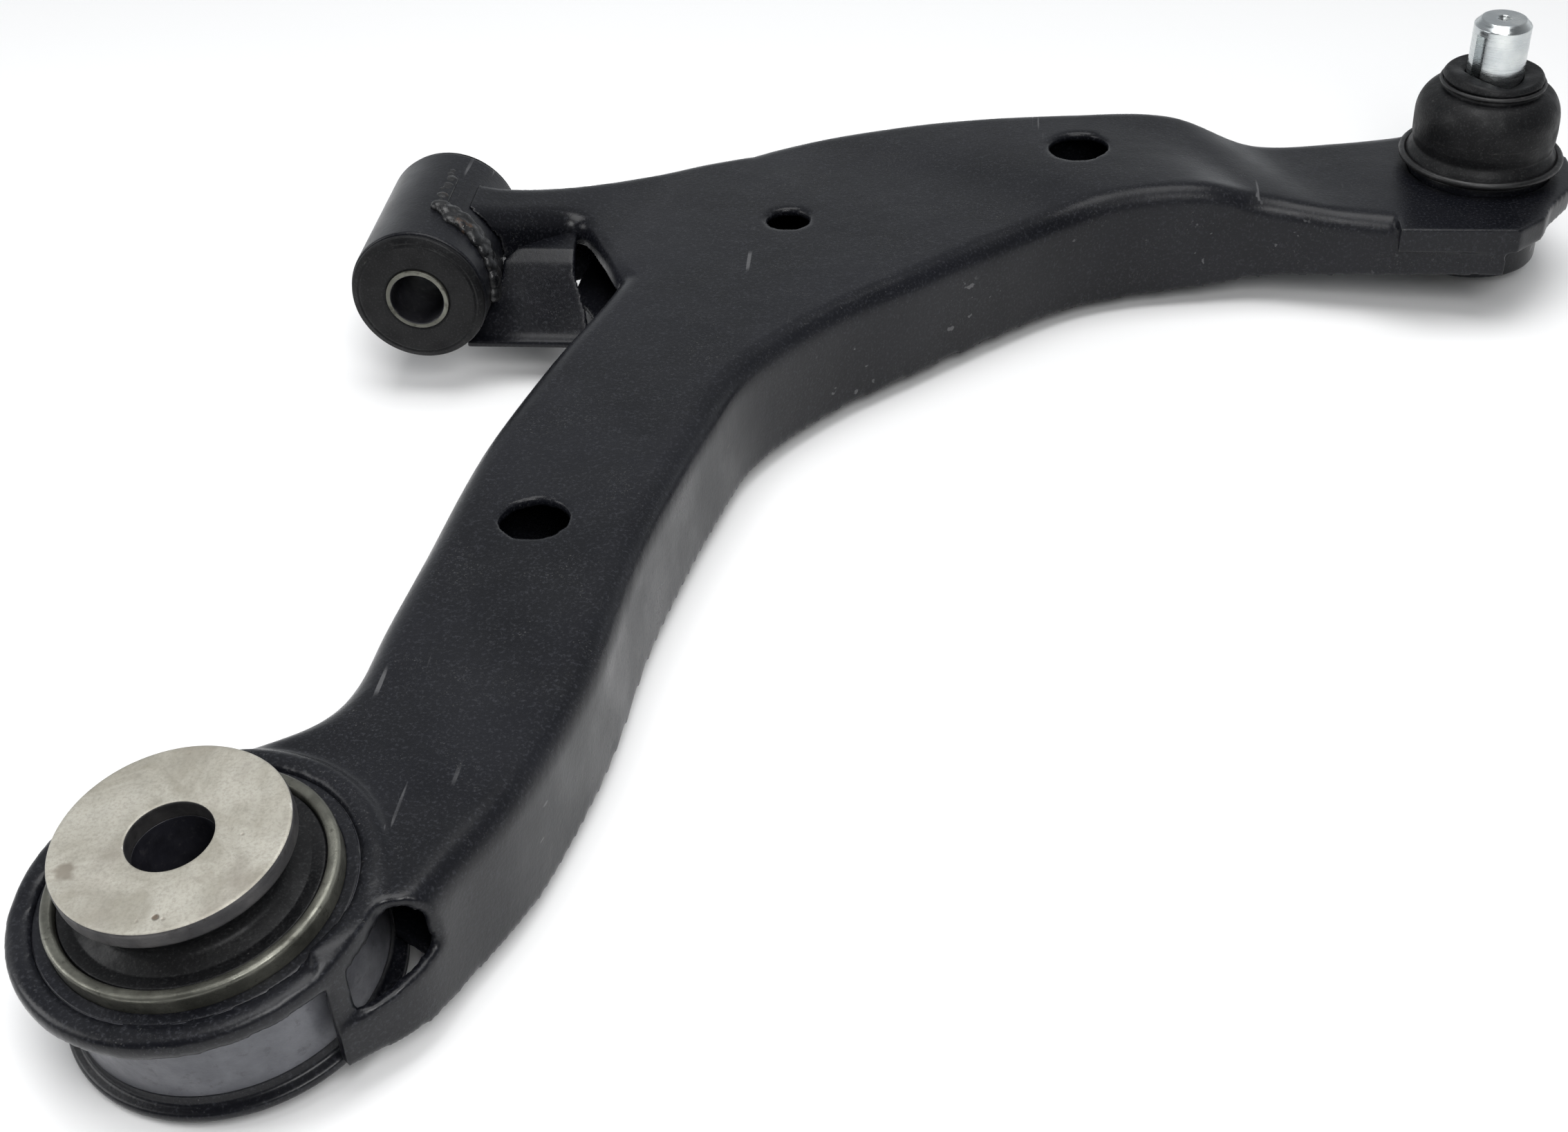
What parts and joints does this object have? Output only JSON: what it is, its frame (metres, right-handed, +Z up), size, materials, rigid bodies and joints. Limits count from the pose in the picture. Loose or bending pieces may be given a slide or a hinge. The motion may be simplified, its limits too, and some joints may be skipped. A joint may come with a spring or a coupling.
{
  "type": "control arm",
  "caption": "L-shaped pressed-steel lower control arm with a horizontal front bush, a leaning vertical rear bush and an upward pinch-stud ball joint.",
  "frame": {"origin": "centre of the front bush bore", "axes": "+Y along the front bush bore away from the rear bush, +X outboard to the ball joint, +Z up"},
  "size_m": [0.3959, 0.4266, 0.0847],
  "materials": {
    "black_paint": "semi-gloss black paint over pressed steel",
    "weld_paint": "black paint over rough weld beads",
    "bronzed_steel": "dull bronze-tinted bare steel",
    "bare_steel": "smudged bare steel",
    "sleeve_steel": "plain drawn steel",
    "zinc_stud": "bright machined and plated",
    "clip_steel": "black clip ring",
    "rubber": "matt black moulded rubber",
    "seat_plastic": "natural moulded plastic"
  },
  "bodies": {
    "arm": {"upper_shell": "black_paint", "shell_tongue": "black_paint", "lower_plate": "black_paint", "front_bracket": "black_paint", "front_tube": "black_paint", "front_outer_sleeve": "sleeve_steel", "front_rubber": "rubber", "front_tube_weld": "weld_paint", "rear_housing": "black_paint", "rear_outer_can": "bronzed_steel", "rear_rubber": "rubber", "rear_ring_weld": "weld_paint", "joint_housing": "black_paint", "joint_weld": "weld_paint", "ball_seat": "seat_plastic", "wedge_ring": "sleeve_steel", "end_cover": "black_paint", "boot_lower_ring": "clip_steel", "seam_weld": "weld_paint"},
    "front_sleeve": {"front_inner_sleeve": "bronzed_steel"},
    "rear_core": {"rear_inner_sleeve": "sleeve_steel", "rear_top_washer": "bare_steel", "rear_bottom_washer": "bare_steel"},
    "boot_middle": {"boot": "rubber"},
    "boot_collar": {"boot_upper_ring": "clip_steel"},
    "stud": {"ball_stud": "zinc_stud"}
  },
  "joints": [
    {"name": "front_bush_twist", "type": "hinge", "parent": "arm", "child": "front_sleeve", "pos_m": [0, 0, 0], "axis": [0, 1, 0], "range_deg": [-20, 20], "stiffness_Nm_per_rad": 60},
    {"name": "rear_bush_tilt", "type": "hinge", "parent": "arm", "child": "rear_core", "pos_m": [0.01177, -0.28576, -0.01074], "axis": [0, 1, 0], "range_deg": [-8, 8], "stiffness_Nm_per_rad": 60, "deforming": ["rear_rubber"]},
    {"name": "ball_tilt_x", "type": "hinge", "parent": "arm", "child": "boot_middle", "pos_m": [0.335, 0.068, -0.007], "axis": [1, 0, 0], "range_deg": [-25, 25], "deforming": ["boot"]},
    {"name": "ball_tilt_y", "type": "hinge", "parent": "boot_middle", "child": "boot_collar", "pos_m": [0.335, 0.068, -0.007], "axis": [0, 1, 0], "range_deg": [-25, 25], "deforming": ["boot"]},
    {"name": "ball_spin", "type": "hinge", "parent": "boot_collar", "child": "stud", "pos_m": [0.335, 0.068, -0.007], "axis": [0, 0, 1], "range_deg": [-60, 60]}
  ]
}
